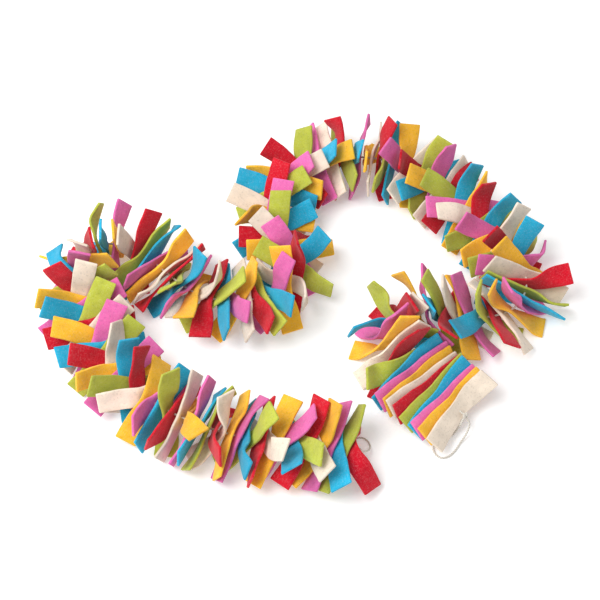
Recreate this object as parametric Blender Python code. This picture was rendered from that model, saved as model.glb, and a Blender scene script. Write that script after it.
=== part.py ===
# Felt garland. Short strips of wool felt in six colours are threaded through their middles on a
# cotton cord, and each end of the cord is tied off in a knot with a hanging loop. The garland
# lies in a loose S on a flat surface: the strips lean on one another like fallen dominoes, each
# is turned its own way about the cord, their arms curl, and the lowest arms lie on the surface.
# Metres, +Z up. The surface is z = 0, and the origin is under the middle of the garland.

import math
import random
from bisect import bisect_right
from collections import namedtuple

import bmesh
import bpy
from mathutils import Vector
from mathutils.bvhtree import BVHTree

# Driving dimensions of the strips and the cord
STRIP_LENGTH = 0.100
STRIP_WIDTH = 0.024
FELT_THICKNESS = 0.003
WAIST_WIDTH = 0.019
CORD_DIAMETER = 0.002
REPEATS = 30
NODE_GAP = 0.0003
END_STUB = 0.006  # from the middle of the last strip to the end of the cord, at its knot
SHORT_EDGE = 0.0001  # an edge shorter than this is closed up
FLAT_EDGE = math.radians(1.5)  # an edge between triangles flatter than this can be turned

# The felts in the order in which they are threaded, as sRGB colours
FELTS = {
    "cream": (0.90, 0.85, 0.78),
    "yellow": (0.96, 0.74, 0.25),
    "pink": (0.88, 0.44, 0.68),
    "turquoise": (0.17, 0.64, 0.76),
    "green": (0.67, 0.74, 0.25),
    "red": (0.74, 0.04, 0.12),
}
COTTON = (0.93, 0.91, 0.88)

# Where the cord runs, from one end to the other. x, y and height are in millimetres. lean is
# how far the strips lean over, in degrees, and is negative where their tops lean onwards.
# spread is how far they are turned about the cord from level, in degrees.
Stop = namedtuple("Stop", "x y height lean spread")
CORD_ROUTE = (
    Stop(168, -149, 18, -54, 8),
    Stop(139, -124, 19, -52, 12),
    Stop(113, -101, 22, -42, 25),
    Stop(97, -80, 26, -23, 50),
    Stop(94, -57, 30, -6, 75),
    Stop(109, -37, 31, 0, 80),
    Stop(136, -31, 29, 6, 80),
    Stop(168, -36, 27, 32, 75),
    Stop(206, -38, 27, 46, 75),
    Stop(236, -24, 29, 26, 75),
    Stop(248, 8, 30, -6, 80),
    Stop(232, 47, 28, -39, 70),
    Stop(202, 87, 26, -52, 60),
    Stop(170, 129, 26, -52, 60),
    Stop(130, 162, 26, -39, 65),
    Stop(86, 177, 27, 0, 75),
    Stop(40, 177, 27, 39, 75),
    Stop(-4, 156, 27, 49, 70),
    Stop(-32, 121, 27, 52, 65),
    Stop(-29, 82, 27, 52, 60),
    Stop(-9, 45, 28, 42, 60),
    Stop(-6, 12, 30, 26, 65),
    Stop(-26, -10, 30, 20, 75),
    Stop(-62, -18, 28, 39, 65),
    Stop(-104, -13, 27, 52, 60),
    Stop(-138, 10, 27, 26, 65),
    Stop(-168, 36, 29, -20, 75),
    Stop(-203, 52, 33, -6, 80),
    Stop(-232, 46, 35, 0, 80),
    Stop(-246, 19, 33, 13, 80),
    Stop(-238, -22, 29, 46, 70),
    Stop(-214, -73, 26, 54, 60),
    Stop(-185, -113, 26, 49, 65),
    Stop(-150, -144, 26, 32, 70),
    Stop(-100, -170, 27, -16, 75),
    Stop(-45, -186, 27, -46, 75),
    Stop(10, -190, 27, -54, 60),
    Stop(55, -197, 26, -54, 40),
)
ROUTE_STEP = 0.001
HEADING_REACH = 0.003  # how far each way along the route its heading is taken
BEND_REACH = 0.010  # and its bend

# A loop comes out of the knot at each end of the cord. Its points are in millimetres too.
KNOT_RADIUS = 0.0035
KNOT_TURNS = 3
KNOT_LUMP = 0.1  # how far the turns stand out, as a share of the radius
KNOT_TWIST = 900  # radians along each metre
LOOP_STEP = 0.005
START_LOOP = (
    (166, -162, 9), (160, -168, 4), (151, -172, 1), (143, -177, 1), (139, -183, 1), (141, -190, 1),
    (147, -194, 1), (155, -192, 1), (162, -185, 1), (168, -176, 2), (174, -168, 6), (177, -160, 11),
)
END_LOOP = (
    (65, -194, 16), (71, -189, 9), (73, -182, 3), (71, -175, 1), (65, -171, 1), (58, -173, 3),
    (54, -180, 8), (54, -188, 15),
)

# Where a strip's section is set, as distances from the cord along an arm. An arm that reaches
# the surface lies on it from its landing to its end.
ROOT = 0.010
KNEE = 0.028
LANDING_KNEE = 0.026
LANDING = 0.042
ARM_END = STRIP_LENGTH / 2
STEEPEST_LANDING = 0.85  # the sine of the slope
LEAST_FLAT = 0.3  # the cosine of how far from flat an arm can be turned, where it comes down
CLOSE = 0.000001

# How a strip strays from the route's lean and spread, as the spreads of bell curves in degrees
SEED = 26
LEAN_STRAY = 10
YAW_STRAY = 10
BEND_STRAY = (16, 18)  # at the root of an arm, and at its knee
TWIST_STRAY = (16, 18)  # up to the knee, and from there to the end
BEND_ROOM = 0.014  # the share by which strips sit further apart, for each 1/m of the cord's bend
WILDNESS = (1, 1, 1, 2.4)  # one draw in four strays further
INNER_LIFT = 1.3  # degrees for each 1/m of the cord's bend: arms on the inner side are crowded up
MOST_TURN = 90
MOST_BEND = 45

# How the strips are settled, round by round, until all are clear of one another. After the
# calm rounds, half of each spell of rounds has patience with shapes that cut in more than before,
# near the strips that are stuck.
CLEARANCE = 0.0004
ROUNDS = 100
CALM_ROUNDS = 13
SPELL = 6
PATIENCE = 10
STUCK_REACH = 3
TRIES = 32
IDLE_TRIES = 6
STIR_ROUNDS = 8
STIR_TRIES = 12
COMBED = 40  # strips that are spread less than this are left lying alongside one another
LEAST_CHANGE = 0.1
NEIGHBOUR_REACH = 1.05 * STRIP_LENGTH

UP = Vector((0, 0, 1))

Section = namedtuple("Section", "reach centre across normal")
Arm = namedtuple("Arm", "root_bend knee_bend root_twist knee_twist")
Pose = namedtuple("Pose", "lean yaw turn right left")


def catmull_rom(before, start, end, after, share):
    """A point on the smooth curve from start to end, whose neighbours are before and after."""
    square, cube = share**2, share**3
    return 0.5 * (
        2 * start
        + (end - before) * share
        + (2 * before - 5 * start + 4 * end - after) * square
        + (3 * start - before - 3 * end + after) * cube
    )


class Route:
    """The middle line of the cord, with the lean and spread of the strips along it."""

    def __init__(self, stops):
        knots = [(Vector((s.x, s.y, s.height)) / 1000, Vector((s.lean, s.spread))) for s in stops]
        first, last = knots[0], knots[-1]
        before_first = tuple(2 * a - b for a, b in zip(first, knots[1]))
        after_last = tuple(2 * a - b for a, b in zip(last, knots[-2]))
        knots = [before_first, *knots, after_last]
        self.points, self.styles = [], []
        for four in zip(knots, knots[1:], knots[2:], knots[3:]):
            steps = math.ceil((four[2][0] - four[1][0]).length / ROUTE_STEP)
            for step in range(steps):
                share = step / steps
                self.points.append(catmull_rom(*(k[0] for k in four), share))
                self.styles.append(four[1][1].lerp(four[2][1], share))
        self.points.append(last[0])
        self.styles.append(last[1])
        self.along = [0.0]
        for a, b in zip(self.points, self.points[1:]):
            self.along.append(self.along[-1] + (b - a).length)
        self.length = self.along[-1]

    def index(self, distance):
        """The point before a distance along the cord, and the share of the way to the next one."""
        i = min(bisect_right(self.along, distance), len(self.along) - 1) - 1
        return i, (distance - self.along[i]) / (self.along[i + 1] - self.along[i])

    def point(self, distance):
        i, share = self.index(distance)
        return self.points[i].lerp(self.points[i + 1], share)

    def style(self, distance):
        i, share = self.index(distance)
        return self.styles[i].lerp(self.styles[i + 1], share)

    def heading(self, distance):
        ahead = self.point(min(distance + HEADING_REACH, self.length))
        behind = self.point(max(distance - HEADING_REACH, 0))
        return (ahead - behind).normalized()

    def bend(self, distance):
        """How fast the cord turns to the right, in 1/m."""
        before, after = max(distance - BEND_REACH, 0), min(distance + BEND_REACH, self.length)
        return self.heading(after).cross(self.heading(before)).z / (after - before)


def spaced_distances(route, count):
    """Where the strips sit along the cord: evenly, but further apart where it bends."""
    room = [0.0]
    for start, end in zip(route.along, route.along[1:]):
        room.append(room[-1] + (end - start) / (1 + BEND_ROOM * abs(route.bend(start))))
    distances = []
    for number in range(count):
        wanted = room[-1] * (number + 0.5) / count
        i = bisect_right(room, wanted) - 1
        share = (wanted - room[i]) / (room[i + 1] - room[i])
        distances.append(route.along[i] + share * (route.along[i + 1] - route.along[i]))
    return distances


def swing(first, second, degrees):
    """Turn two unit vectors that are square to each other in their own plane, first towards second."""
    c, s = math.cos(math.radians(degrees)), math.sin(math.radians(degrees))
    return c * first + s * second, c * second - s * first


def width_at(reach):
    share = min(max((abs(reach) - ROOT) / (KNEE - ROOT), 0), 1)
    return WAIST_WIDTH + share * (STRIP_WIDTH - WAIST_WIDTH)


def free_arm(centre, along, across, normal, arm):
    """The sections of an arm that stays clear of the surface, from its root to its end."""
    sections = []
    reach = ROOT
    centre = centre + ROOT * along
    stretches = ((arm.root_bend, arm.root_twist, KNEE), (arm.knee_bend, arm.knee_twist, ARM_END))
    for bend, twist, next_reach in stretches:
        halfway = swing(along, normal, bend / 2)[1] / math.cos(math.radians(bend / 2))
        sections.append(Section(reach, centre, across, halfway))
        along, normal = swing(along, normal, bend)
        centre = centre + (next_reach - reach) * along
        across, normal = swing(across, normal, twist)
        reach = next_reach
    sections.append(Section(reach, centre, across, normal))
    return sections


def mitred(normal, other):
    """The halfway normal at a bend, longer by as much as keeps the felt's thickness."""
    return (normal + other) / (1 + normal.dot(other))


def landed_arm(root, along, across, normal):
    """The sections of an arm that comes down and lies flat on the surface, or None if it can't."""
    slope = (root.z - FELT_THICKNESS / 2) / (LANDING - ROOT)
    heading = Vector((along.x, along.y, 0))
    if slope > STEEPEST_LANDING or heading.length < LEAST_FLAT:
        return None
    heading.normalize()
    level = UP.cross(heading)
    if level.dot(across) < 0:
        level = -level
    if level.dot(across) < LEAST_FLAT:
        return None
    falling = math.sqrt(1 - slope**2) * heading - slope * UP
    up = UP if along.cross(across).dot(normal) * heading.cross(level).z > 0 else -UP
    knee_across = (across + level).normalized()
    knee_normal = (up - up.dot(falling) * falling).normalized()
    knee_normal = (knee_normal - knee_normal.dot(knee_across) * knee_across).normalized()
    if knee_normal.dot(normal) < LEAST_FLAT:
        return None
    root_normal = mitred(normal, knee_normal)
    root_normal -= root_normal.dot(across) * across
    knee = root + (LANDING_KNEE - ROOT) * falling
    landing = root + (LANDING - ROOT) * falling
    end = landing + (ARM_END - LANDING) * heading
    return [
        Section(ROOT, root, across, root_normal),
        Section(LANDING_KNEE, knee, knee_across, knee_normal),
        Section(LANDING, landing, level, mitred(up, knee_normal)),
        Section(ARM_END, end, level, up),
    ]


def corners(section, spare=0.0):
    side = (width_at(section.reach) / 2 + spare) * section.across
    face = (FELT_THICKNESS / 2 + spare) * section.normal
    return [section.centre + a * side + b * face for a, b in ((-1, -1), (1, -1), (1, 1), (-1, 1))]


def loft_faces(count):
    """The faces of a closed loft through a number of four-cornered sections.

    They are triangles, but for the four flat ones round the middle, which the cord goes through.
    """
    last = 4 * (count - 1)
    faces = [(0, 2, 1), (0, 3, 2), (last, last + 1, last + 2), (last, last + 2, last + 3)]
    for start in range(0, last, 4):
        for a in range(4):
            b = (a + 1) % 4
            corners_round = (start + a, start + b, start + 4 + b, start + 4 + a)
            if start + 2 == last / 2:
                faces.append(corners_round)
            else:
                faces += [corners_round[:3], (corners_round[0], *corners_round[2:])]
    return faces


def skin(sections):
    """A search tree of a strip that is swollen by half the clearance."""
    points = [corner for section in sections for corner in corners(section, CLEARANCE / 2)]
    return BVHTree.FromPolygons(points, loft_faces(len(sections)))


def lowest(sections):
    return min(corner.z for section in sections for corner in corners(section))


def mirrored(sections):
    """The same sections for the arm on the other side, whose reach is negative, end first."""
    return [Section(-s.reach, s.centre, s.across, s.normal) for s in reversed(sections)]


class Strip:
    """A strip of felt on the cord, and the ways in which it may lie there."""

    def __init__(self, route, distance):
        self.centre = route.point(distance)
        self.heading = route.heading(distance)
        self.lean, self.spread = route.style(distance)
        self.lift = INNER_LIFT * route.bend(distance)
        self.side = self.heading.cross(UP).normalized()
        self.up = self.side.cross(self.heading)
        self.neighbours = []
        self.beside = []
        self.pose = None
        self.sections = []
        self.tree = None

    def drawn_pose(self, draw):
        wildness = draw.choice(WILDNESS)
        arms = []
        for _ in range(2):
            bends = (draw.gauss(0, wildness * stray) for stray in BEND_STRAY + TWIST_STRAY)
            arms.append(Arm(*(max(-MOST_BEND, min(MOST_BEND, bend)) for bend in bends)))
        turn = self.lift + draw.uniform(-self.spread, self.spread)
        turn = max(-MOST_TURN, min(MOST_TURN, turn))
        lean, yaw = self.lean + draw.gauss(0, LEAN_STRAY), draw.gauss(0, YAW_STRAY)
        beside = [other.pose for other in self.beside if other.pose]
        if beside:
            share = draw.random()
            lean += share * (sum(pose.lean for pose in beside) / len(beside) - lean)
            yaw += share * (sum(pose.yaw for pose in beside) / len(beside) - yaw)
        return Pose(lean, yaw, turn, *arms)

    def shape(self, pose):
        """The sections of the strip in a pose, or None if the surface is in its way."""
        across, normal = swing(self.up, -self.heading, pose.lean)
        along, normal = swing(self.side, -normal, pose.yaw)
        along, across = swing(along, across, pose.turn)
        normal = along.cross(across)
        arms = []
        for direction, bends in ((along, pose.right), (-along, pose.left)):
            arm = free_arm(self.centre, direction, across, normal, bends)
            if lowest(arm) < 0:
                towards = swing(direction, normal, bends.root_bend)[0]
                arm = landed_arm(self.centre + ROOT * direction, towards, across, normal)
            if arm is None or lowest(arm) < -CLOSE:
                return None
            arms.append(arm)
        return mirrored(arms[1]) + arms[0]

    def take(self, pose, sections, tree):
        self.pose, self.sections, self.tree = pose, sections, tree

    def start(self, draw):
        sections = None
        while sections is None:
            pose = self.drawn_pose(draw)
            sections = self.shape(pose)
        self.take(pose, sections, skin(sections))

    def trouble(self, tree):
        """How many pairs of faces a shape shares with the strips that it cuts into."""
        return sum(len(tree.overlap(other.tree)) for other in self.neighbours)

    def improve(self, draw, patience):
        """Try other poses, and take those that cut in no more, or hardly more if there is patience."""
        trouble = self.trouble(self.tree)
        for _ in range(TRIES if trouble else IDLE_TRIES):
            pose = changed(self.pose, self.drawn_pose(draw), draw)
            sections = self.shape(pose)
            if sections:
                tree = skin(sections)
                found = self.trouble(tree)
                if found <= trouble + patience * draw.random() ** 3:
                    self.take(pose, sections, tree)
                    trouble = found
        return trouble


    def unlikeness(self, pose):
        """How unlike those of the strips beside it a pose is, in degrees."""
        total = 0
        for other in self.beside:
            total += abs(pose.turn - other.pose.turn)
            for bends, others in ((pose.right, other.pose.right), (pose.left, other.pose.left)):
                total += sum(abs(a - b) for a, b in zip(bends, others))
        return total / len(self.beside)

    def stir(self, draw):
        """Try other poses, and take those that are clear of all strips and less like their neighbours."""
        for _ in range(STIR_TRIES):
            pose = changed(self.pose, self.drawn_pose(draw), draw)
            sections = self.shape(pose) if self.unlikeness(pose) > self.unlikeness(self.pose) else None
            if sections:
                tree = skin(sections)
                if not self.trouble(tree):
                    self.take(pose, sections, tree)


def changed(pose, fresh, draw):
    """A pose with one arm, or all of it, moved some way towards a fresh one."""
    share = draw.uniform(LEAST_CHANGE, 1) ** 2
    part = draw.choice(("right", "left", "turn", "all"))
    values = {}
    for name, old, new in zip(pose._fields, pose, fresh):
        if part not in (name, "all"):
            values[name] = old
        elif name in ("right", "left"):
            values[name] = Arm(*(a + share * (b - a) for a, b in zip(old, new)))
        else:
            values[name] = old + share * (new - old)
    return Pose(**values)


def thread_strips(route):
    """The strips in their places on the cord, settled until none cuts into another."""
    draw = random.Random(SEED)
    count = REPEATS * len(FELTS)
    strips = [Strip(route, distance) for distance in spaced_distances(route, count)]
    for number, strip in enumerate(strips):
        strip.neighbours = [
            other for other in strips
            if other is not strip and (other.centre - strip.centre).length < NEIGHBOUR_REACH
        ]
        strip.start(draw)
        strip.beside = strips[max(number - 1, 0):number] + strips[number + 1:number + 2]
    troubles = [1] * count
    for settling in range(ROUNDS):
        patience = PATIENCE if settling >= CALM_ROUNDS and settling % SPELL < SPELL / 2 else 0
        stuck = [any(troubles[max(0, i - STUCK_REACH):i + STUCK_REACH + 1]) for i in range(count)]
        troubles = [strip.improve(draw, patience * near) for strip, near in zip(strips, stuck)]
        if not any(troubles):
            break
    for _ in range(STIR_ROUNDS):
        for strip in strips:
            if strip.spread > COMBED:
                strip.stir(draw)
    return strips


def middle_of(strips):
    """The point on the surface under the middle of all the strips."""
    points = [corner for strip in strips for section in strip.sections for corner in corners(section)]
    return Vector((
        (min(p.x for p in points) + max(p.x for p in points)) / 2,
        (min(p.y for p in points) + max(p.y for p in points)) / 2,
        0,
    ))


def clear_scene():
    for obj in list(bpy.data.objects):
        bpy.data.objects.remove(obj, do_unlink=True)


def new_collection(name):
    collection = bpy.data.collections.new(name)
    bpy.context.scene.collection.children.link(collection)
    return collection


def new_material(name, color, roughness):
    material = bpy.data.materials.new(name)
    material.use_nodes = True
    shader = material.node_tree.nodes["Principled BSDF"]
    shader.inputs["Base Color"].default_value = (*(channel**2.2 for channel in color), 1)
    shader.inputs["Roughness"].default_value = roughness
    shader.inputs["Metallic"].default_value = 0
    return material


def smooth_points(stops, step):
    """Points a step apart on the smooth curve through some stops."""
    stops = [2 * stops[0] - stops[1], *stops, 2 * stops[-1] - stops[-2]]
    points = []
    for before, start, end, after in zip(stops, stops[1:], stops[2:], stops[3:]):
        steps = max(1, round((end - start).length / step))
        points += [catmull_rom(before, start, end, after, i / steps) for i in range(steps)]
    return points + [stops[-2]]


def add_tube(name, points, resolution, material, collection):
    curve = bpy.data.curves.new(name, "CURVE")
    curve.dimensions = "3D"
    curve.bevel_depth = CORD_DIAMETER / 2
    curve.bevel_resolution = resolution
    curve.use_fill_caps = True
    spline = curve.splines.new("POLY")
    spline.points.add(len(points) - 1)
    for spline_point, point in zip(spline.points, points):
        spline_point.co = (*point, 1)
    curve.materials.append(material)
    tube = bpy.data.objects.new(name, curve)
    collection.objects.link(tube)
    return tube


def as_mesh(tube, collection):
    """A mesh object in place of a tube, with its caps welded on."""
    evaluated = tube.evaluated_get(bpy.context.evaluated_depsgraph_get())
    mesh = bpy.data.meshes.new_from_object(evaluated)
    bm = bmesh.new()
    bm.from_mesh(mesh)
    bmesh.ops.remove_doubles(bm, verts=bm.verts, dist=0.00001)
    bm.to_mesh(mesh)
    bm.free()
    name = tube.name
    matrix = tube.matrix_world.copy()
    bpy.data.objects.remove(tube)
    solid = bpy.data.objects.new(name, mesh)
    solid.matrix_world = matrix
    collection.objects.link(solid)
    return solid


def add_strips(name, strips, middle, felts, collection):
    """Six strips of felt as lofts in one mesh, one of each felt."""
    bm = bmesh.new()
    for slot, strip in enumerate(strips):
        points = [corner - middle for section in strip.sections for corner in corners(section)]
        verts = [bm.verts.new(point) for point in points]
        for face in loft_faces(len(strip.sections)):
            bm.faces.new([verts[i] for i in face]).material_index = slot
    bmesh.ops.triangulate(bm, faces=bm.faces)
    mesh = bpy.data.meshes.new(name)
    bm.to_mesh(mesh)
    bm.free()
    for felt in felts:
        mesh.materials.append(felt)
    obj = bpy.data.objects.new(name, mesh)
    obj.hide_render = True
    obj.display_type = "WIRE"
    collection.objects.link(obj)
    return obj


def fuse(stretch, strips):
    """Join the strips to a stretch of cord as one solid, without long thin triangles."""
    union = stretch.modifiers.new("strips", "BOOLEAN")
    union.operation = "UNION"
    union.solver = "EXACT"
    union.material_mode = "TRANSFER"
    union.object = strips
    evaluated = stretch.evaluated_get(bpy.context.evaluated_depsgraph_get())
    mesh = bpy.data.meshes.new_from_object(evaluated)
    bm = bmesh.new()
    bm.from_mesh(mesh)
    bmesh.ops.triangulate(bm, faces=bm.faces)
    short_edges = [edge for edge in bm.edges if edge.calc_length() < SHORT_EDGE]
    bmesh.ops.collapse(bm, edges=short_edges)
    flat_edges = [edge for edge in bm.edges if edge.calc_face_angle(math.pi) < FLAT_EDGE]
    bmesh.ops.beautify_fill(bm, faces=bm.faces, edges=flat_edges)
    bm.to_mesh(mesh)
    bm.free()
    stretch.modifiers.clear()
    stretch.data = mesh


def add_repeats(strips, middle, felts, cotton, parts, helpers):
    """One solid for each repeat of the six felts: a stretch of cord with its strips fused on."""
    size = len(FELTS)
    joints = [a.centre.lerp(b.centre, 0.5) for a, b in zip(strips, strips[1:])]
    start = strips[0].centre + END_STUB * (strips[0].centre - strips[1].centre).normalized()
    end = strips[-1].centre + END_STUB * (strips[-1].centre - strips[-2].centre).normalized()
    joints = [start, *joints, end]
    for repeat in range(REPEATS):
        name = f"repeat_{repeat + 1:02d}"
        six = strips[repeat * size:(repeat + 1) * size]
        points = [joints[repeat * size], *(strip.centre for strip in six), joints[(repeat + 1) * size]]
        points[0] += NODE_GAP / 2 * (points[1] - points[0]).normalized()
        points[-1] += NODE_GAP / 2 * (points[-2] - points[-1]).normalized()
        tube = add_tube(name, [point - middle for point in points], 1, cotton, parts)
        stretch = as_mesh(tube, parts)
        fuse(stretch, add_strips(f"{name}_strips", six, middle, felts, helpers))
    return start - middle, end - middle


def add_knot(name, cord_end, beyond, cotton, collection):
    """A knot with wound turns round its waist, just clear of the end of the cord. Returns its place."""
    bm = bmesh.new()
    bmesh.ops.create_uvsphere(bm, u_segments=12, v_segments=8, radius=KNOT_RADIUS)
    for vert in bm.verts:
        angle = KNOT_TURNS * math.atan2(vert.co.y, vert.co.x) + KNOT_TWIST * vert.co.z
        vert.co *= 1 + KNOT_LUMP * math.sin(angle) * vert.co.xy.length / KNOT_RADIUS
    bmesh.ops.triangulate(bm, faces=bm.faces)
    mesh = bpy.data.meshes.new(name)
    bm.to_mesh(mesh)
    bm.free()
    mesh.materials.append(cotton)
    knot = bpy.data.objects.new(name, mesh)
    outwards = (cord_end - beyond).normalized()
    knot.location = cord_end + (KNOT_RADIUS + NODE_GAP) * outwards
    knot.rotation_euler = outwards.to_track_quat("Z", "Y").to_euler()
    collection.objects.link(knot)
    return knot.location


def add_loop(name, stops, knot, middle, cotton, collection):
    """A loop of cord whose two ends come out of a knot, and which comes to rest on the surface."""
    stops = [Vector(stop) / 1000 - middle for stop in stops]
    reach = (1 + KNOT_LUMP / 2) * KNOT_RADIUS + NODE_GAP
    first, last = (knot + reach * (stop - knot).normalized() for stop in (stops[0], stops[-1]))
    points = smooth_points([first, *stops, last], LOOP_STEP)
    for point in points:
        point.z = max(point.z, CORD_DIAMETER / 2)
    add_tube(name, points, 2, cotton, collection)


def main():
    clear_scene()
    parts = new_collection("felt_garland")
    helpers = new_collection("helpers")
    cotton = new_material("cotton", COTTON, 0.8)
    felts = [new_material(f"felt_{name}", color, 0.95) for name, color in FELTS.items()]
    strips = thread_strips(Route(CORD_ROUTE))
    middle = middle_of(strips)
    start, end = add_repeats(strips, middle, felts, cotton, parts, helpers)
    first_knot = add_knot("knot_start", start, strips[0].centre - middle, cotton, parts)
    last_knot = add_knot("knot_end", end, strips[-1].centre - middle, cotton, parts)
    add_loop("loop_start", START_LOOP, first_knot, middle, cotton, parts)
    add_loop("loop_end", END_LOOP, last_knot, middle, cotton, parts)


main()
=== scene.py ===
# A felt garland: 180 short strips of wool felt, threaded through their middles on a cotton cord
# and lying in a loose S on a pale surface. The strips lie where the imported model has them: the
# route of the cord and the way in which the strips settle on it are the same as there.

import math
import random
from bisect import bisect_right
from collections import namedtuple

import bmesh
import bpy
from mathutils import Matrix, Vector, noise
from mathutils.bvhtree import BVHTree


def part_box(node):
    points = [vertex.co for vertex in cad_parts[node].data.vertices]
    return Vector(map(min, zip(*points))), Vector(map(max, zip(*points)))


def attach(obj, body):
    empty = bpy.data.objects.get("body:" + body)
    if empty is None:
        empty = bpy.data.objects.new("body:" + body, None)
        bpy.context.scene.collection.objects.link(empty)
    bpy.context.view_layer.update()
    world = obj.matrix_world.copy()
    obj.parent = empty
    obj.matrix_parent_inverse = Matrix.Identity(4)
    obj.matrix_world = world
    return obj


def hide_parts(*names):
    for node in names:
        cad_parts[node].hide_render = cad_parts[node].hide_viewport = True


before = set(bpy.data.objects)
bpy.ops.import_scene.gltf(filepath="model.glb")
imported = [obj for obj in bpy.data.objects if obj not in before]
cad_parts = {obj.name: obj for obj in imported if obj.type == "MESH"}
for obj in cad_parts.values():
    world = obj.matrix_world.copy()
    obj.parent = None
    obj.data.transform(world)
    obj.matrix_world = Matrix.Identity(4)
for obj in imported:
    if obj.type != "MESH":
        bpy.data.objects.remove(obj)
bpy.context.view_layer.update()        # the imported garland, which everything below is fitted to
bpy.ops.object.select_all(action="DESELECT")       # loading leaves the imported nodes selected
print("frame loaded:", len(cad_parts), "nodes")

upward = Vector((0, 0, 1))
mmPerMetre = 1000

# Where the cord runs, from one end to the other. x, y and height are in millimetres, lean is how
# far the strips lean over and spread how far they are turned about the cord, both in degrees.
Stop = namedtuple("Stop", "x y height lean spread")
cordRoute = (
    Stop(168, -149, 18, -54, 8),
    Stop(139, -124, 19, -52, 12),
    Stop(113, -101, 22, -42, 25),
    Stop(97, -80, 26, -23, 50),
    Stop(94, -57, 30, -6, 75),
    Stop(109, -37, 31, 0, 80),
    Stop(136, -31, 29, 6, 80),
    Stop(168, -36, 27, 32, 75),
    Stop(206, -38, 27, 46, 75),
    Stop(236, -24, 29, 26, 75),
    Stop(248, 8, 30, -6, 80),
    Stop(232, 47, 28, -39, 70),
    Stop(202, 87, 26, -52, 60),
    Stop(170, 129, 26, -52, 60),
    Stop(130, 162, 26, -39, 65),
    Stop(86, 177, 27, 0, 75),
    Stop(40, 177, 27, 39, 75),
    Stop(-4, 156, 27, 49, 70),
    Stop(-32, 121, 27, 52, 65),
    Stop(-29, 82, 27, 52, 60),
    Stop(-9, 45, 28, 42, 60),
    Stop(-6, 12, 30, 26, 65),
    Stop(-26, -10, 30, 20, 75),
    Stop(-62, -18, 28, 39, 65),
    Stop(-104, -13, 27, 52, 60),
    Stop(-138, 10, 27, 26, 65),
    Stop(-168, 36, 29, -20, 75),
    Stop(-203, 52, 33, -6, 80),
    Stop(-232, 46, 35, 0, 80),
    Stop(-246, 19, 33, 13, 80),
    Stop(-238, -22, 29, 46, 70),
    Stop(-214, -73, 26, 54, 60),
    Stop(-185, -113, 26, 49, 65),
    Stop(-150, -144, 26, 32, 70),
    Stop(-100, -170, 27, -16, 75),
    Stop(-45, -186, 27, -46, 75),
    Stop(10, -190, 27, -54, 60),
    Stop(55, -197, 26, -54, 40),
)

# The loop at each end of the cord, in millimetres too
startLoop = (
    (166, -162, 9), (160, -168, 4), (151, -172, 1), (143, -177, 1), (139, -183, 1), (141, -190, 1),
    (147, -194, 1), (155, -192, 1), (162, -185, 1), (168, -176, 2), (174, -168, 6), (177, -160, 11),
)
endLoop = (
    (65, -194, 16), (71, -189, 9), (73, -182, 3), (71, -175, 1), (65, -171, 1), (58, -173, 3),
    (54, -180, 8), (54, -188, 15),
)

# How the strips settle, in metres and degrees
layout = {
    "seed": 26,
    "repeats": 30,             # of the six felts
    "stripWidth": 0.024,
    "waistWidth": 0.019,       # at the cord
    "feltThickness": 0.003,
    "routeStep": 0.001,
    "headingReach": 0.003,     # how far each way the cord is looked at for its heading
    "bendReach": 0.010,        # and for how fast it turns
    "root": 0.010,             # distances from the cord at which an arm bends
    "knee": 0.028,
    "landingKnee": 0.026,
    "landing": 0.042,          # and past which an arm that comes down lies flat
    "armEnd": 0.05,
    "steepestLanding": 0.85,   # the steepest slope at which an arm comes down, as a sine
    "leastFlat": 0.3,          # how far its directions must agree with level ones, as a share
    "close": 0.000001,
    "leanStray": 10,           # how far one strip strays from the route's lean, and so on
    "yawStray": 10,
    "bendStray": (16, 18),
    "twistStray": (16, 18),
    "bendRoom": 0.014,         # how much further apart they sit where the cord bends, in metres
    "wildness": (1, 1, 1, 2.4),        # one pose in four strays further
    "innerLift": 1.3,          # how far a bend turns the strips about the cord
    "mostTurn": 90,
    "mostBend": 45,
    "clearance": 0.0004,       # from one strip to the next
    "rounds": 100,
    "calmRounds": 13,          # before any pose that cuts in more is taken
    "spell": 6,                # rounds, half of them patient and half not
    "patience": 10,
    "patienceFall": 3,         # the higher, the fewer poses that cut in more are taken
    "changeFall": 2,           # the higher, the smaller most changes are
    "stuckReach": 3,           # strips each way of one that cuts in
    "tries": 32,
    "idleTries": 6,            # by a strip that cuts into none
    "stirRounds": 8,
    "stirTries": 12,
    "combed": 40,              # strips spread less than this stay alongside one another
    "leastChange": 0.1,
    "neighbourReach": 0.105,
}

# The felts in the order in which they are threaded
feltColors = {
    "cream": "EDDDCA",
    "yellow": "FBBE30",
    "pink": "E26AAD",
    "turquoise": "1FA6CC",
    "green": "B4BB42",
    "red": "C80A24",
}

Section = namedtuple("Section", "reach centre across normal")
Arm = namedtuple("Arm", "rootBend kneeBend rootTwist kneeTwist")
Pose = namedtuple("Pose", "lean yaw turn right left")


def catmullRom(before, start, end, after, share):
    # A point on the smooth curve from start to end, whose neighbours are before and after.
    square, cube = share**2, share**3
    return 0.5 * (
        2 * start
        + (end - before) * share
        + (2 * before - 5 * start + 4 * end - after) * square
        + (3 * start - before - 3 * end + after) * cube
    )


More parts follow.
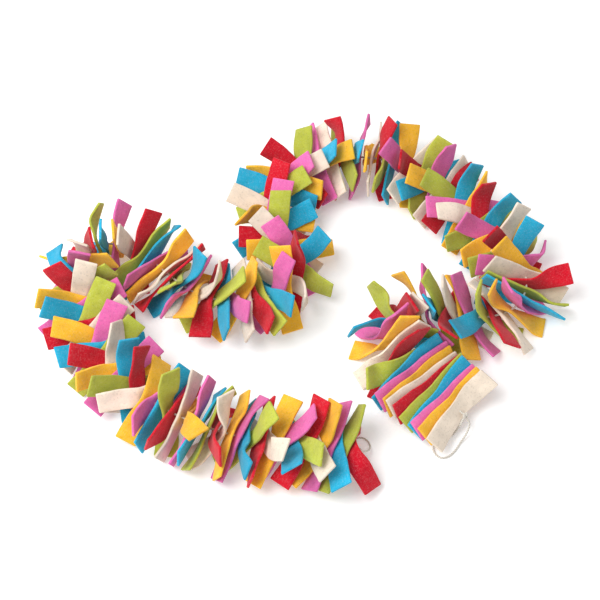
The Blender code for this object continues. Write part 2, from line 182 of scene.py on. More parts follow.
class Route:
    # The middle line of the cord, with the lean and spread of the strips along it.

    def __init__(self, stops):
        knots = [(Vector((s.x, s.y, s.height)) / mmPerMetre, Vector((s.lean, s.spread))) for s in stops]
        first, last = knots[0], knots[-1]
        beforeFirst = tuple(2 * a - b for a, b in zip(first, knots[1]))
        afterLast = tuple(2 * a - b for a, b in zip(last, knots[-2]))
        knots = [beforeFirst, *knots, afterLast]
        self.points, self.styles = [], []
        for four in zip(knots, knots[1:], knots[2:], knots[3:]):
            steps = math.ceil((four[2][0] - four[1][0]).length / layout["routeStep"])
            for step in range(steps):
                share = step / steps
                self.points.append(catmullRom(*(k[0] for k in four), share))
                self.styles.append(four[1][1].lerp(four[2][1], share))
        self.points.append(last[0])
        self.styles.append(last[1])
        self.along = [0.0]
        for a, b in zip(self.points, self.points[1:]):
            self.along.append(self.along[-1] + (b - a).length)
        self.length = self.along[-1]

    def index(self, distance):
        # The point before a distance along the cord, and the share of the way to the next one.
        i = min(bisect_right(self.along, distance), len(self.along) - 1) - 1
        return i, (distance - self.along[i]) / (self.along[i + 1] - self.along[i])

    def point(self, distance):
        i, share = self.index(distance)
        return self.points[i].lerp(self.points[i + 1], share)

    def style(self, distance):
        i, share = self.index(distance)
        return self.styles[i].lerp(self.styles[i + 1], share)

    def heading(self, distance):
        ahead = self.point(min(distance + layout["headingReach"], self.length))
        behind = self.point(max(distance - layout["headingReach"], 0))
        return (ahead - behind).normalized()

    def bend(self, distance):
        # How fast the cord turns to the right, in 1/m.
        before = max(distance - layout["bendReach"], 0)
        after = min(distance + layout["bendReach"], self.length)
        return self.heading(after).cross(self.heading(before)).z / (after - before)


def spacedDistances(route, count):
    # Where the strips sit along the cord: evenly, but further apart where it bends.
    room = [0.0]
    for start, end in zip(route.along, route.along[1:]):
        room.append(room[-1] + (end - start) / (1 + layout["bendRoom"] * abs(route.bend(start))))
    distances = []
    for number in range(count):
        wanted = room[-1] * (number + 0.5) / count
        i = bisect_right(room, wanted) - 1
        share = (wanted - room[i]) / (room[i + 1] - room[i])
        distances.append(route.along[i] + share * (route.along[i + 1] - route.along[i]))
    return distances


def swing(first, second, degrees):
    # Turn two unit vectors that are square to each other in their own plane, first towards second.
    c, s = math.cos(math.radians(degrees)), math.sin(math.radians(degrees))
    return c * first + s * second, c * second - s * first


def held(value, most):
    return max(-most, min(most, value))


def widthAt(reach):
    share = min(max((abs(reach) - layout["root"]) / (layout["knee"] - layout["root"]), 0), 1)
    return layout["waistWidth"] + share * (layout["stripWidth"] - layout["waistWidth"])


def freeArm(centre, along, across, normal, arm):
    # The sections of an arm that stays clear of the surface, from its root to its end.
    sections = []
    reach = layout["root"]
    centre = centre + layout["root"] * along
    stretches = (
        (arm.rootBend, arm.rootTwist, layout["knee"]),
        (arm.kneeBend, arm.kneeTwist, layout["armEnd"]),
    )
    for bend, twist, nextReach in stretches:
        halfway = swing(along, normal, bend / 2)[1] / math.cos(math.radians(bend / 2))
        sections.append(Section(reach, centre, across, halfway))
        along, normal = swing(along, normal, bend)
        centre = centre + (nextReach - reach) * along
        across, normal = swing(across, normal, twist)
        reach = nextReach
    sections.append(Section(reach, centre, across, normal))
    return sections


def mitred(normal, other):
    # The halfway normal at a bend, longer by as much as keeps the felt's thickness.
    return (normal + other) / (1 + normal.dot(other))


def landedArm(root, along, across, normal):
    # The sections of an arm that comes down and lies flat on the surface, or None if it can't.
    slope = (root.z - layout["feltThickness"] / 2) / (layout["landing"] - layout["root"])
    heading = Vector((along.x, along.y, 0))
    if slope > layout["steepestLanding"] or heading.length < layout["leastFlat"]:
        return None
    heading.normalize()
    level = upward.cross(heading)
    if level.dot(across) < 0:
        level = -level
    if level.dot(across) < layout["leastFlat"]:
        return None
    falling = math.sqrt(1 - slope**2) * heading - slope * upward
    up = upward if along.cross(across).dot(normal) * heading.cross(level).z > 0 else -upward
    kneeAcross = (across + level).normalized()
    kneeNormal = (up - up.dot(falling) * falling).normalized()
    kneeNormal = (kneeNormal - kneeNormal.dot(kneeAcross) * kneeAcross).normalized()
    if kneeNormal.dot(normal) < layout["leastFlat"]:
        return None
    rootNormal = mitred(normal, kneeNormal)
    rootNormal -= rootNormal.dot(across) * across
    knee = root + (layout["landingKnee"] - layout["root"]) * falling
    landing = root + (layout["landing"] - layout["root"]) * falling
    end = landing + (layout["armEnd"] - layout["landing"]) * heading
    return [
        Section(layout["root"], root, across, rootNormal),
        Section(layout["landingKnee"], knee, kneeAcross, kneeNormal),
        Section(layout["landing"], landing, level, mitred(up, kneeNormal)),
        Section(layout["armEnd"], end, level, up),
    ]


def corners(section, spare=0.0):
    side = (widthAt(section.reach) / 2 + spare) * section.across
    face = (layout["feltThickness"] / 2 + spare) * section.normal
    return [section.centre + a * side + b * face for a, b in ((-1, -1), (1, -1), (1, 1), (-1, 1))]


def loftFaces(count):
    # The faces of a closed loft through a number of four-cornered sections.
    # They are triangles, but for the four flat ones round the middle, which the cord goes through.
    last = 4 * (count - 1)
    faces = [(0, 2, 1), (0, 3, 2), (last, last + 1, last + 2), (last, last + 2, last + 3)]
    for start in range(0, last, 4):
        for a in range(4):
            b = (a + 1) % 4
            cornersRound = (start + a, start + b, start + 4 + b, start + 4 + a)
            if start + 2 == last / 2:
                faces.append(cornersRound)
            else:
                faces += [cornersRound[:3], (cornersRound[0], *cornersRound[2:])]
    return faces


def skin(sections):
    # A search tree of a strip that is swollen by half the clearance.
    points = [corner for section in sections for corner in corners(section, layout["clearance"] / 2)]
    return BVHTree.FromPolygons(points, loftFaces(len(sections)))


def lowest(sections):
    return min(corner.z for section in sections for corner in corners(section))


def mirrored(sections):
    # The same sections for the arm on the other side, whose reach is negative, end first.
    return [Section(-s.reach, s.centre, s.across, s.normal) for s in reversed(sections)]


class Strip:
    # A strip of felt on the cord, and the ways in which it may lie there.

    def __init__(self, route, distance):
        self.centre = route.point(distance)
        self.heading = route.heading(distance)
        self.lean, self.spread = route.style(distance)
        self.lift = layout["innerLift"] * route.bend(distance)
        self.side = self.heading.cross(upward).normalized()
        self.up = self.side.cross(self.heading)
        self.neighbours = []
        self.beside = []
        self.pose = None
        self.sections = []
        self.tree = None

    def drawnPose(self, draw):
        wildness = draw.choice(layout["wildness"])
        arms = []
        for _ in range(2):
            strays = layout["bendStray"] + layout["twistStray"]
            bends = (draw.gauss(0, wildness * stray) for stray in strays)
            arms.append(Arm(*(held(bend, layout["mostBend"]) for bend in bends)))
        turn = held(self.lift + draw.uniform(-self.spread, self.spread), layout["mostTurn"])
        lean, yaw = self.lean + draw.gauss(0, layout["leanStray"]), draw.gauss(0, layout["yawStray"])
        beside = [other.pose for other in self.beside if other.pose]
        if beside:
            share = draw.random()
            lean += share * (sum(pose.lean for pose in beside) / len(beside) - lean)
            yaw += share * (sum(pose.yaw for pose in beside) / len(beside) - yaw)
        return Pose(lean, yaw, turn, *arms)

    def shape(self, pose):
        # The sections of the strip in a pose, or None if the surface is in its way.
        across, normal = swing(self.up, -self.heading, pose.lean)
        along, normal = swing(self.side, -normal, pose.yaw)
        along, across = swing(along, across, pose.turn)
        normal = along.cross(across)
        arms = []
        for direction, bends in ((along, pose.right), (-along, pose.left)):
            arm = freeArm(self.centre, direction, across, normal, bends)
            if lowest(arm) < 0:
                towards = swing(direction, normal, bends.rootBend)[0]
                arm = landedArm(self.centre + layout["root"] * direction, towards, across, normal)
            if arm is None or lowest(arm) < -layout["close"]:
                return None
            arms.append(arm)
        return mirrored(arms[1]) + arms[0]

    def take(self, pose, sections, tree):
        self.pose, self.sections, self.tree = pose, sections, tree

    def start(self, draw):
        sections = None
        while sections is None:
            pose = self.drawnPose(draw)
            sections = self.shape(pose)
        self.take(pose, sections, skin(sections))

    def trouble(self, tree):
        # How many pairs of faces a shape shares with the strips that it cuts into.
        return sum(len(tree.overlap(other.tree)) for other in self.neighbours)

    def improve(self, draw, patience):
        # Try other poses, and take those that cut in no more, or hardly more if there is patience.
        trouble = self.trouble(self.tree)
        for _ in range(layout["tries"] if trouble else layout["idleTries"]):
            pose = changed(self.pose, self.drawnPose(draw), draw)
            sections = self.shape(pose)
            if sections:
                tree = skin(sections)
                found = self.trouble(tree)
                if found <= trouble + patience * draw.random() ** layout["patienceFall"]:
                    self.take(pose, sections, tree)
                    trouble = found
        return trouble

    def unlikeness(self, pose):
        # How unlike those of the strips beside it a pose is, in degrees.
        total = 0
        for other in self.beside:
            total += abs(pose.turn - other.pose.turn)
            for bends, others in ((pose.right, other.pose.right), (pose.left, other.pose.left)):
                total += sum(abs(a - b) for a, b in zip(bends, others))
        return total / len(self.beside)

    def stir(self, draw):
        # Try other poses, and take those that are clear of all strips and less like their neighbours.
        for _ in range(layout["stirTries"]):
            pose = changed(self.pose, self.drawnPose(draw), draw)
            sections = self.shape(pose) if self.unlikeness(pose) > self.unlikeness(self.pose) else None
            if sections:
                tree = skin(sections)
                if not self.trouble(tree):
                    self.take(pose, sections, tree)


def changed(pose, fresh, draw):
    # A pose with one arm, or all of it, moved some way towards a fresh one.
    share = draw.uniform(layout["leastChange"], 1) ** layout["changeFall"]
    part = draw.choice(("right", "left", "turn", "all"))
    values = {}
    for name, old, new in zip(pose._fields, pose, fresh):
        if part not in (name, "all"):
            values[name] = old
        elif name in ("right", "left"):
            values[name] = Arm(*(a + share * (b - a) for a, b in zip(old, new)))
        else:
            values[name] = old + share * (new - old)
    return Pose(**values)


def threadStrips(route):
    # The strips in their places on the cord, settled until none cuts into another.
    draw = random.Random(layout["seed"])
    count = layout["repeats"] * len(feltColors)
    strips = [Strip(route, distance) for distance in spacedDistances(route, count)]
    for number, strip in enumerate(strips):
        strip.neighbours = [
            other for other in strips
            if other is not strip and (other.centre - strip.centre).length < layout["neighbourReach"]
        ]
        strip.start(draw)
        strip.beside = strips[max(number - 1, 0):number] + strips[number + 1:number + 2]
    troubles = [1] * count
    for settling in range(layout["rounds"]):
        loose = settling >= layout["calmRounds"] and settling % layout["spell"] < layout["spell"] / 2
        patience = layout["patience"] if loose else 0
        reach = layout["stuckReach"]
        stuck = [any(troubles[max(0, i - reach):i + reach + 1]) for i in range(count)]
        troubles = [strip.improve(draw, patience * near) for strip, near in zip(strips, stuck)]
        if not any(troubles):
            break
    for _ in range(layout["stirRounds"]):
        for strip in strips:
            if strip.spread > layout["combed"]:
                strip.stir(draw)
    return strips


def middleOf(strips):
    # The point on the surface under the middle of all the strips.
    points = [corner for strip in strips for section in strip.sections for corner in corners(section)]
    return Vector((
        (min(p.x for p in points) + max(p.x for p in points)) / 2,
        (min(p.y for p in points) + max(p.y for p in points)) / 2,
        0,
    ))


strips = threadStrips(Route(cordRoute))
middle = middleOf(strips)
print("strips settled:", len(strips))


# The camera looks down at the garland from the front, as one photographs things on a table.
camera = {
    "elevation": 58,           # degrees above the surface
    "distance": 1.574,
    "lens": 85,
    "clipEnd": 20,
}


def addCamera():
    aim = -middle
    slope = math.radians(camera["elevation"])
    offset = camera["distance"] * Vector((0, -math.cos(slope), math.sin(slope)))
    bpy.ops.object.camera_add(location=aim + offset)
    cam = bpy.context.object
    cam.rotation_euler = (-offset).to_track_quat("-Z", "Y").to_euler()
    cam.data.lens = camera["lens"]
    cam.data.clip_end = camera["clipEnd"]
    bpy.context.scene.camera = cam


addCamera()


def linear(code):
    # An sRGB hex colour as the linear colour that a shader takes.
    values = [int(code[i:i + 2], 16) / 255 for i in (0, 2, 4)]
    return (*(v / 12.92 if v <= 0.04045 else ((v + 0.055) / 1.055) ** 2.4 for v in values), 1)


def addNode(tree, kind, inputs=None, **settings):
    # A node with its settings, and its inputs set to values or linked to other nodes' outputs.
    node = tree.nodes.new(kind)
    for name, value in settings.items():
        setattr(node, name, value)
    for name, value in (inputs or {}).items():
        if isinstance(value, bpy.types.NodeSocket):
            tree.links.new(value, node.inputs[name])
        else:
            node.inputs[name].default_value = value
    return node


# The sockets of a Mix node that mixes colours, and two kinds of noise
colorA, colorB, mixedColor = 6, 7, 2
softNoise = {"Detail": 2, "Roughness": 0.6}
crispNoise = {"Detail": 3, "Roughness": 0.7}


def newMaterial(name):
    # A material with no nodes yet, and its tree.
    material = bpy.data.materials.new(name)
    material.use_nodes = True
    material.node_tree.nodes.clear()
    return material, material.node_tree


# Needle-punched wool felt: matt, cloudy where the wool is thicker, and heathered with darker and
# paler fibres, so that it never looks like one flat colour.
wool = {
    "cloud": 16,               # mm across a cloudy patch
    "cloudRange": (0.3, 0.7),  # the part of the noise that it uses
    "cloudShare": 0.10,
    "fleck": 2.4,              # mm across a darker fleck
    "fleckRange": (0.46, 0.30),        # the noise where one begins and where it is darkest
    "fleckMost": 0.8,
    "fleckDark": 0.72,         # how dark the dark flecks are, as a share of the felt's own colour
    "fibre": 0.7,              # mm across a tuft of fibres: the real 0.03 mm is too fine to show
    "fibreStretch": 5,         # how much longer a tuft is than wide
    "fibreRange": (0.56, 0.74),
    "fibreMost": 0.7,
    "fibrePale": 0.26,         # how far towards white the pale tufts go
    "crossShift": (0.5, 0.2, 0),       # from the tufts that lie along a strip to those across it
    "tintShare": 0.12,         # how far one strip is from the next in brightness
    "relief": 0.00025,         # metres
    "reliefStrength": 0.8,
    "roughness": 0.95,
    "specular": 0.1,
    "sheen": 0.15,
    "sheenRoughness": 0.6,
}


def feltMaterial(name, code):
    material, tree = newMaterial(f"wool felt, {name}")
    place = addNode(tree, "ShaderNodeTexCoord").outputs["Object"]
    tint = addNode(tree, "ShaderNodeAttribute", attribute_name="tint").outputs["Fac"]
    onFelt = addNode(tree, "ShaderNodeAttribute", attribute_name="felt").outputs["Vector"]
    cloud, fleck = (
        addNode(
            tree, "ShaderNodeTexNoise", {"Vector": place, "Scale": mmPerMetre / wool[pattern], **kind},
        ).outputs["Fac"]
        for pattern, kind in (("cloud", softNoise), ("fleck", crispNoise))
    )
    longWays = addNode(
        tree, "ShaderNodeMapping", {"Vector": onFelt, "Scale": (1 / wool["fibreStretch"], 1, 1)},
    ).outputs["Vector"]
    crossWays = addNode(
        tree, "ShaderNodeMapping",
        {"Vector": onFelt, "Scale": (1, 1 / wool["fibreStretch"], 1), "Location": wool["crossShift"]},
    ).outputs["Vector"]
    fibres = [
        addNode(
            tree, "ShaderNodeTexNoise",
            {"Vector": ways, "Scale": mmPerMetre / wool["fibre"], **softNoise},
        ).outputs["Fac"]
        for ways in (longWays, crossWays)
    ]
    tangle = addNode(
        tree, "ShaderNodeMath", {0: fibres[0], 1: fibres[1]}, operation="MAXIMUM",
    ).outputs["Value"]

    base = linear(code)
    dark = (*(channel * wool["fleckDark"] for channel in base[:3]), 1)
    paler = wool["fibrePale"] * (sum(base[:3]) / 3) ** 0.5       # tufts show less in a deep colour
    pale = (*(channel + (1 - channel) * paler for channel in base[:3]), 1)
    color = base
    for pattern, (low, high), most, other in (
        (fleck, wool["fleckRange"], wool["fleckMost"], dark),
        (tangle, wool["fibreRange"], wool["fibreMost"], pale),
    ):
        share = addNode(
            tree, "ShaderNodeMapRange",
            {"Value": pattern, "From Min": low, "From Max": high, "To Max": most},
        ).outputs["Result"]
        color = addNode(
            tree, "ShaderNodeMix", {"Factor": share, colorA: color, colorB: other}, data_type="RGBA",
        ).outputs[mixedColor]
    cloudValue, tintValue = (
        addNode(
            tree, "ShaderNodeMapRange",
            {"Value": pattern, "From Min": low, "From Max": high, "To Min": 1 - most, "To Max": 1 + most},
        ).outputs["Result"]
        for pattern, (low, high), most in (
            (cloud, wool["cloudRange"], wool["cloudShare"]),
            (tint, (0, 1), wool["tintShare"]),
        )
    )
    value = addNode(
        tree, "ShaderNodeMath", {0: cloudValue, 1: tintValue}, operation="MULTIPLY",
    ).outputs["Value"]
    color = addNode(
        tree, "ShaderNodeHueSaturation", {"Color": color, "Value": value},
    ).outputs["Color"]

    height = addNode(
        tree, "ShaderNodeMath", {0: tangle, 1: fleck}, operation="ADD",
    ).outputs["Value"]
    bump = addNode(
        tree, "ShaderNodeBump",
        {"Height": height, "Strength": wool["reliefStrength"], "Distance": wool["relief"]},
    ).outputs["Normal"]
    shader = addNode(
        tree, "ShaderNodeBsdfPrincipled",
        {"Base Color": color, "Normal": bump, "Roughness": wool["roughness"],
         "Specular IOR Level": wool["specular"], "Sheen Weight": wool["sheen"],
         "Sheen Roughness": wool["sheenRoughness"]},
    ).outputs["BSDF"]
    addNode(tree, "ShaderNodeOutputMaterial", {"Surface": shader})
    return material


# A strip is die-cut from felt sheet, so it is even in thickness and its edges are a little soft. The
# cord draws it in at the hole and the felt puckers there.
feltStrip = {
    "rows": 39,
    "thickness": 0.0028,       # a little under the settled strips', to keep neighbours apart
    "edge": 0.00085,           # how far in a cut edge is rounded
    "ease": 0.007,             # how far each way a bend is eased
    "easeSamples": 3,          # each way
    "drawnIn": 0.0050,         # how much narrower it is at the cord
    "drawnReach": 0.016,
    "pucker": 0.0009,
    "puckerWidth": 0.012,      # from one fold to the next
    "puckerReach": 0.011,
    "squeezed": 0.3,           # how much thinner it is round the hole, as a share
    "squeezedReach": 0.005,
    "wave": 0.0006,
    "waveSize": 0.018,
    "pile": 0.00012,
    "pileSize": 0.0028,
    "pileFaces": 8,            # how far apart in the noise a strip's two faces are
    "pileShift": 0.5,          # and its pile from its wave
    "ragged": 0.0004,
    "raggedSize": 0.009,
    "raggedApart": 9,          # how far each edge is from the middle in the noise, in its sizes
    "noiseStep": 3.7,          # how far apart in the noise one strip is from the next
    "fibreStep": 0.1,          # and in the pattern of its fibres
    "rimSharper": 0.7,         # how much less the edges are rounded at an end's rim, as a share
    "skew": 0.09,              # how far out of square an end may be cut
    "skewFrom": 0.040,
    "clear": 0.0001,           # of the surface, where an arm lies on it
    "sections": 6,             # pieces that the strips of one colour are shared out to
    "seed": 4,
}
cornerCut = 1 - math.cos(math.radians(45))     # where a quarter round's middle lies, from its corner


def sectionAt(sections, reach):
    # The middle, width's direction and heading of a strip at a distance from the cord, unsmoothed.
    i = 1
    while i < len(sections) - 1 and reach > sections[i].reach:
        i += 1
    before, after = sections[i - 1], sections[i]
    share = (reach - before.reach) / (after.reach - before.reach)
    centre = before.centre.lerp(after.centre, share)
    across = before.across.lerp(after.across, min(max(share, 0), 1))
    return centre, across, (after.centre - before.centre).normalized()


def easedSection(sections, reach):
    # The same with the bends eased, and the felt's normal.
    count = feltStrip["easeSamples"]
    samples = [
        sectionAt(sections, reach + feltStrip["ease"] * step / count) for step in range(-count, count + 1)
    ]
    centre, across, along = (sum(vectors, Vector((0, 0, 0))) for vectors in zip(*samples))
    along.normalize()
    normal = along.cross(across).normalized()
    return centre / len(samples), along, normal.cross(along), normal


def profile(side, face, edge):
    # The outline of a strip's section, from the top's left end round to the left side: how far
    # across and how far up each point is.
    corner = cornerCut * edge
    top = [(-side + edge, face), (-side / 2, face), (0, face), (side / 2, face), (side - edge, face)]
    right = [
        (side - corner, face - corner), (side, face - edge),
        (side, edge - face), (side - corner, corner - face),
    ]
    return top + right + [(-a, -b) for a, b in top + right]


def falloff(distance, reach):
    return math.exp(-(distance / reach) ** 2)


def noiseAt(along, across, size, number):
    return noise.noise(Vector((along / size, across / size, feltStrip["noiseStep"] * number)))


def stripRows():
    # How far along a strip its rows of points lie, and how far in the rim is rounded at each.
    end, edge = layout["armEnd"], feltStrip["edge"]
    corner = cornerCut * edge
    inner = end - edge
    spread = feltStrip["rows"] - 1
    rows = [(-end, edge), (-end + corner, corner)]
    rows += [(inner * (2 * row / spread - 1), 0) for row in range(feltStrip["rows"])]
    return rows + [(end - corner, corner), (end, edge)]


def addStrip(bm, sections, number, draw):
    # One strip of felt as a closed skin, in a mesh that it shares with others.
    tint = bm.verts.layers.float["tint"]
    felt = bm.verts.layers.float_vector["felt"]
    end, edge = layout["armEnd"], feltStrip["edge"]
    skews = {sign: draw.uniform(-feltStrip["skew"], feltStrip["skew"]) for sign in (-1, 1)}
    shade = draw.random()
    rings = []
    for reach, inset in stripRows():
        centre, along, across, normal = easedSection(sections, reach)
        centre = centre - middle
        drawnIn = feltStrip["drawnIn"] / 2 * falloff(reach, feltStrip["drawnReach"])
        side = layout["stripWidth"] / 2 - drawnIn - inset
        ended = max(abs(reach) - feltStrip["skewFrom"], 0) / (end - feltStrip["skewFrom"])
        skewed = skews[1 if reach > 0 else -1] * ended
        face = feltStrip["thickness"] / 2 - inset
        ring = []
        for a, b in profile(side, face, edge * (1 - inset / edge * feltStrip["rimSharper"])):
            squeeze = feltStrip["squeezed"] * falloff(reach, feltStrip["squeezedReach"])
            squeeze *= falloff(a, feltStrip["squeezedReach"])
            edgeNoise = math.copysign(feltStrip["raggedApart"], a) * feltStrip["raggedSize"]
            ragged = feltStrip["ragged"] * noiseAt(reach, edgeNoise, feltStrip["raggedSize"], number)
            pucker = feltStrip["pucker"] * math.cos(2 * math.pi * a / feltStrip["puckerWidth"])
            rise = pucker * falloff(reach, feltStrip["puckerReach"])
            rise += feltStrip["wave"] * noiseAt(reach, a, feltStrip["waveSize"], number)
            pile = feltStrip["pile"] * noiseAt(
                reach, a + feltStrip["pileFaces"] * b, feltStrip["pileSize"],
                number + feltStrip["pileShift"],
            )
            place = centre + (a + ragged * a / side) * across
            place += (b * (1 - squeeze) + rise + math.copysign(pile, b)) * normal
            place += skewed * a * along
            place.z = max(place.z, feltStrip["clear"])
            vert = bm.verts.new(place)
            vert[tint] = shade
            vert[felt] = (reach, a + b, feltStrip["fibreStep"] * number)
            ring.append(vert)
        rings.append(ring)
    for ring, following in zip(rings, rings[1:]):
        for i in range(len(ring)):
            bm.faces.new((ring[i - 1], following[i - 1], following[i], ring[i]))
    for ring in (rings[0], rings[-1]):
        addCap(bm, ring)


def addCap(bm, ring):
    # Closes an end with faces that run from the felt's top to its bottom, left to right.
    top, corner = 4, 2         # faces along a profile's top, and round each of its corners
    last = len(ring) // 2 + top
    for i in range(-corner, top + corner):
        bm.faces.new((ring[i], ring[i + 1], ring[last - 1 - i], ring[last - i]))


def finishMesh(bm, name, material):
    # A smooth mesh object at the origin, its faces pointing out, that rides with the garland.
    bmesh.ops.recalc_face_normals(bm, faces=bm.faces)
    for face in bm.faces:
        face.smooth = True
    mesh = bpy.data.meshes.new(name)
    bm.to_mesh(mesh)
    bm.free()
    mesh.materials.append(material)
    piece = bpy.data.objects.new(name, mesh)
    bpy.context.scene.collection.objects.link(piece)
    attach(piece, "root")
    return piece


def addFelts():
    # The strips of each colour, shared out to a few pieces along the garland.
    draw = random.Random(feltStrip["seed"])
    share = layout["repeats"] // feltStrip["sections"]
    for order, (name, code) in enumerate(feltColors.items()):
        material = feltMaterial(name, code)
        for section in range(feltStrip["sections"]):
            bm = bmesh.new()
            bm.verts.layers.float.new("tint")
            bm.verts.layers.float_vector.new("felt")
            repeats = range(section * share, (section + 1) * share)
            for repeat in repeats:
                number = repeat * len(feltColors) + order
                addStrip(bm, strips[number].sections, number, draw)
            piece = finishMesh(bm, f"{name}_strips_{section + 1}", material)
            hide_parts(*(f"repeat_{repeat + 1:02d}" for repeat in repeats))
        print("felt strips made:", name)


# Cotton cord: three plies twisted together, matt and off-white, with shade painted into its colour
# between the plies.
cotton = {
    "color": "E8E3DA",
    "shadow": "B8AFA2",        # between the plies
    "radius": 0.00100,
    "lobe": 0.13,              # how far a ply stands out, as a share of the radius
    "plies": 3,
    "pitch": 0.009,            # along the cord for one turn of a ply
    "step": 0.00075,
    "sides": 12,
    "diameter": 0.002,
    "smoothSteps": 24,         # from one point of a loop's route to the next
    "fibre": 0.5,              # mm: the real 0.02 mm is too fine to show
    "relief": 0.0001,          # metres
    "reliefStrength": 0.7,
    "roughness": 0.85,
    "specular": 0.2,
    "sheen": 0.2,
}
knot = {
    "radius": 0.0034,
    "steps": 96,
    "cord": 1.25,              # how much wider its cord is, drawn flat, than the rest
    "curveReach": 3,           # how far out its curve goes, in the curve's own units
    "curveDepth": 1.4,         # and how far up and down
    "seat": 0.0022,            # how far from the knot's middle the loop comes out
}


def cottonMaterial():
    material, tree = newMaterial("twisted cotton cord")
    place = addNode(tree, "ShaderNodeTexCoord").outputs["Object"]
    ply = addNode(tree, "ShaderNodeAttribute", attribute_name="ply").outputs["Fac"]
    fibre = addNode(
        tree, "ShaderNodeTexNoise",
        {"Vector": place, "Scale": mmPerMetre / cotton["fibre"], **crispNoise},
    ).outputs["Fac"]
    # Painted shade: the colour is mixed towards the shadow colour in the hollows between the plies,
    # mottled by the fibre noise.
    share = addNode(
        tree, "ShaderNodeMath", {0: ply, 1: fibre}, operation="MULTIPLY",
    ).outputs["Value"]
    color = addNode(
        tree, "ShaderNodeMix",
        {"Factor": share, colorA: linear(cotton["color"]), colorB: linear(cotton["shadow"])},
        data_type="RGBA",
    ).outputs[mixedColor]
    bump = addNode(
        tree, "ShaderNodeBump",
        {"Height": fibre, "Strength": cotton["reliefStrength"], "Distance": cotton["relief"]},
    ).outputs["Normal"]
    shader = addNode(
        tree, "ShaderNodeBsdfPrincipled",
        {"Base Color": color, "Normal": bump, "Roughness": cotton["roughness"],
         "Specular IOR Level": cotton["specular"], "Sheen Weight": cotton["sheen"]},
    ).outputs["BSDF"]
    addNode(tree, "ShaderNodeOutputMaterial", {"Surface": shader})
    return material


def evenPoints(points, step):
    # Points an even step apart on the line through some others.
    spots = [points[0]]
    wanted = step
    gone = 0
    for start, end in zip(points, points[1:]):
        length = (end - start).length
        while length and gone + length >= wanted:
            spots.append(start.lerp(end, (wanted - gone) / length))
            wanted += step
        gone += length
    if (points[-1] - spots[-1]).length > step / 2:
        spots.append(points[-1])
    else:
        spots[-1] = points[-1]
    return spots


def smoothLine(stops):
    # A fine line on the smooth curve through some stops.
    stops = [2 * stops[0] - stops[1], *stops, 2 * stops[-1] - stops[-2]]
    points = []
    steps = cotton["smoothSteps"]
    for four in zip(stops, stops[1:], stops[2:], stops[3:]):
        points += [catmullRom(*four, i / steps) for i in range(steps)]
    return points + [stops[-2]]


def addCord(bm, points, radius, closed=False):
    # A twisted cord along evenly spaced points, as a closed skin.
    shade = bm.verts.layers.float["ply"]
    count = len(points)
    level = None
    rings = []
    for i, point in enumerate(points):
        ahead = points[(i + 1) % count] if closed else points[min(i + 1, count - 1)]
        behind = points[i - 1] if closed else points[max(i - 1, 0)]
        heading = (ahead - behind).normalized()
        if level is None:
            level = heading.orthogonal()
        level = (level - level.dot(heading) * heading).normalized()
        rise = heading.cross(level)
        turned = cotton["plies"] * 2 * math.pi * i * cotton["step"] / cotton["pitch"]
        ring = []
        for k in range(cotton["sides"]):
            angle = 2 * math.pi * k / cotton["sides"]
            lobe = math.cos(cotton["plies"] * angle - turned)
            reach = radius * (1 + cotton["lobe"] * lobe)
            vert = bm.verts.new(point + reach * (math.cos(angle) * level + math.sin(angle) * rise))
            # How deep in the hollow between two plies the point lies, for the painted shade there
            vert[shade] = 1 - lobe
            ring.append(vert)
        rings.append(ring)
    following = rings[1:] + rings[:1] if closed else rings[1:]
    for ring, other in zip(rings, following):
        for k in range(len(ring)):
            bm.faces.new((ring[k - 1], ring[k], other[k], other[k - 1]))
    if not closed:
        bm.faces.new(rings[0])
        bm.faces.new(rings[-1])


def newCordMesh():
    bm = bmesh.new()
    bm.verts.layers.float.new("ply")
    return bm


def addKnot(node, heading, material):
    # A tight overhand knot where the cord ends and its loop begins.
    low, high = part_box(node)
    centre = (low + high) / 2
    wide = cotton["radius"] * knot["cord"]
    scale = (knot["radius"] - wide) / knot["curveReach"]
    turn = heading.to_track_quat("Z", "Y")
    curve = []
    for i in range(knot["steps"]):
        t = 2 * math.pi * i / knot["steps"]
        spot = Vector((
            math.sin(t) + 2 * math.sin(2 * t),
            math.cos(t) - 2 * math.cos(2 * t),
            -knot["curveDepth"] * math.sin(3 * t),
        ))
        curve.append(centre + turn @ (scale * spot))
    bm = newCordMesh()
    addCord(bm, curve, wide, closed=True)
    piece = finishMesh(bm, node.replace("knot", "knotted_cord"), material)
    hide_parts(node)
    return piece, centre


def addLoop(node, stops, centre, material):
    # A loop of the cord that comes out of a knot, goes back into it and rests on the surface.
    stops = [Vector(stop) / mmPerMetre - middle for stop in stops]
    ends = (stops[0], stops[-1])
    first, last = (centre + knot["seat"] * (stop - centre).normalized() for stop in ends)
    line = smoothLine([first, *stops, last])
    floor = (1 + cotton["lobe"]) * cotton["radius"]
    for point in line:
        point.z = max(point.z, floor)
    points = evenPoints(line, cotton["step"])
    bm = newCordMesh()
    addCord(bm, points, cotton["radius"])
    piece = finishMesh(bm, node.replace("loop", "hanging_loop"), material)
    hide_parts(node)


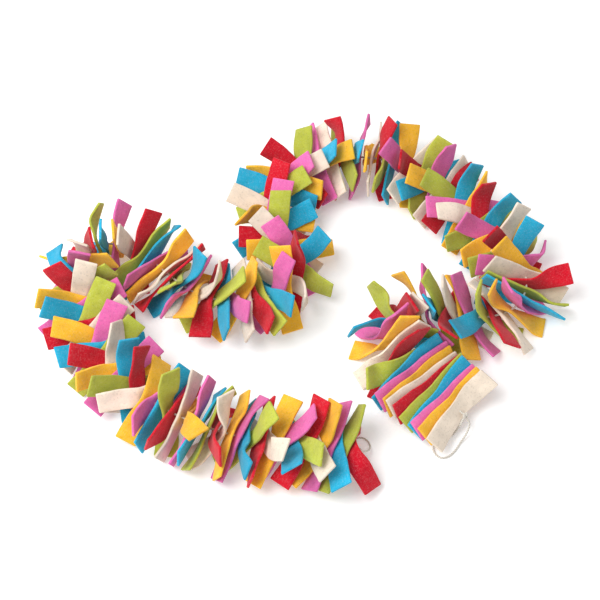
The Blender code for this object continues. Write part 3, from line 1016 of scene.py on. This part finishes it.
def addCords():
    # The cord through the strips, its two knots and its two loops.
    material = cottonMaterial()
    route = Route(cordRoute)
    distances = spacedDistances(route, len(strips))
    outwards = {
        "start": (strips[0].centre - strips[1].centre).normalized(),
        "end": (strips[-1].centre - strips[-2].centre).normalized(),
    }
    knots = {side: addKnot(f"knot_{side}", outwards[side], material) for side in outwards}
    steps = int((distances[-1] - distances[0]) / layout["routeStep"])
    points = [knots["start"][1]]
    for step in range(steps + 1):
        distance = distances[0] + (distances[-1] - distances[0]) * step / steps
        points.append(route.point(distance) - middle)
    points.append(knots["end"][1])
    bm = newCordMesh()
    addCord(bm, evenPoints(points, cotton["step"]), cotton["radius"])
    piece = finishMesh(bm, "cord_middle", material)
    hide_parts(*(f"repeat_{repeat + 1:02d}" for repeat in range(layout["repeats"])))
    for side, stops in (("start", startLoop), ("end", endLoop)):
        piece, centre = knots[side]
        addLoop(f"loop_{side}", stops, centre, material)
    print("cords made")


addCords()
addFelts()


# Soft light from all round and one large softbox above, over white paper.
studio = {
    "sky": 0.62,
    "key": 27,                 # watts
    "keySize": 1.2,
    "keyPlace": (-0.9, -0.2, 1.5),
    "floor": "F7F7F7",
    "floorGlow": 0.18,
    "floorRoughness": 0.9,
    "floorSpecular": 0.1,
    "floorSize": 14,
}
white = (1, 1, 1, 1)


def addStudio():
    bpy.ops.mesh.primitive_plane_add(size=studio["floorSize"], location=(0, 0, 0))
    floor = bpy.context.object
    floor.name = "floor"
    material, tree = newMaterial("matt white paper")
    shader = addNode(
        tree, "ShaderNodeBsdfPrincipled",
        {"Base Color": linear(studio["floor"]), "Roughness": studio["floorRoughness"],
         "Specular IOR Level": studio["floorSpecular"],
         "Emission Color": white, "Emission Strength": studio["floorGlow"]},
    ).outputs["BSDF"]
    addNode(tree, "ShaderNodeOutputMaterial", {"Surface": shader})
    floor.data.materials.append(material)

    world = bpy.data.worlds.new("studio")
    world.use_nodes = True
    background = world.node_tree.nodes["Background"]
    background.inputs["Color"].default_value = white
    background.inputs["Strength"].default_value = studio["sky"]
    bpy.context.scene.world = world

    bpy.ops.object.light_add(type="AREA", location=studio["keyPlace"])
    key = bpy.context.object
    key.name = "softbox"
    key.data.size = studio["keySize"]
    key.data.energy = studio["key"]
    key.rotation_euler = (-Vector(studio["keyPlace"])).to_track_quat("-Z", "Y").to_euler()
    bpy.context.scene.view_settings.view_transform = "Standard"
    print("studio made")


addStudio()
